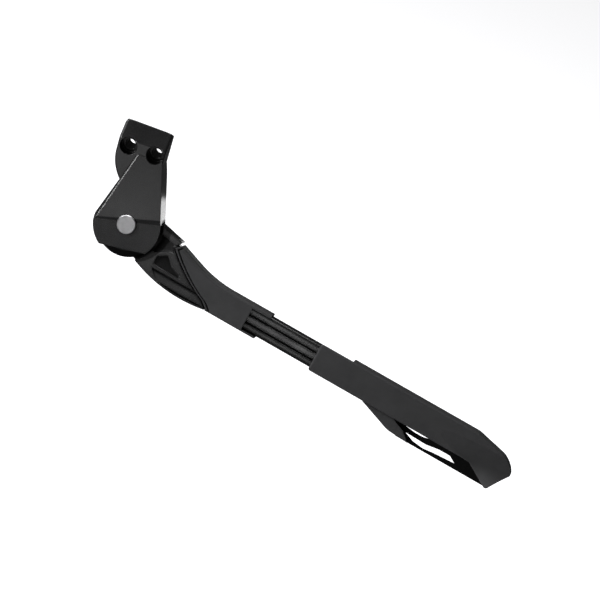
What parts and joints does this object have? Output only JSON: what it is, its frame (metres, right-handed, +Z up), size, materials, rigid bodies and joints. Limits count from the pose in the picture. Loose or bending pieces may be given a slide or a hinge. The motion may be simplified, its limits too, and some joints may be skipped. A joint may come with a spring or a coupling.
{
  "type": "bicycle kickstand",
  "caption": "Folding bicycle kickstand: a bolt-on bracket carries a swinging ribbed leg with a clip-on cover, and a sliding foot with a flared loop sets its length.",
  "frame": {"origin": "midway between the two bolt holes, on the face that meets the bicycle frame", "axes": "+X to the rear of the bicycle along the line of the holes, +Y into the bicycle frame along the bolts, +Z up"},
  "size_m": [0.3047, 0.0525, 0.1406],
  "materials": {
    "bracket_casting": "semi-gloss black paint on a die casting",
    "leg_casting": "gloss black paint on a die casting",
    "cover_plastic": "fine matt grain",
    "foot_plastic": "fine matt grain",
    "pin_steel": "plated, faced end",
    "washer_steel": "plain",
    "spring_steel": "dark",
    "ball_steel": "polished",
    "bush_bronze": "plain",
    "screw_steel": "blackened"
  },
  "bodies": {
    "bracket": {"mount_bracket": "bracket_casting", "pivot_pin": "pin_steel", "retaining_ring": "spring_steel", "front_washer": "washer_steel", "rear_washer": "washer_steel"},
    "swing_leg": {"leg": "leg_casting", "leg_cover": "cover_plastic", "pivot_bush": "bush_bronze", "detent_ball": "ball_steel", "detent_spring": "spring_steel"},
    "sliding_foot": {"foot": "foot_plastic", "lock_screw": "screw_steel", "lock_nut": "screw_steel"}
  },
  "joints": [
    {"name": "leg_swing", "type": "hinge", "parent": "bracket", "child": "swing_leg", "pos_m": [0.006, -0.0186, -0.0489], "axis": [0, 0.9511, -0.309], "range_deg": [0, 85]},
    {"name": "foot_slide", "type": "slide", "parent": "swing_leg", "child": "sliding_foot", "axis": [0.9869, -0.0499, -0.1537], "range_m": [-0.034, 0.012]}
  ]
}
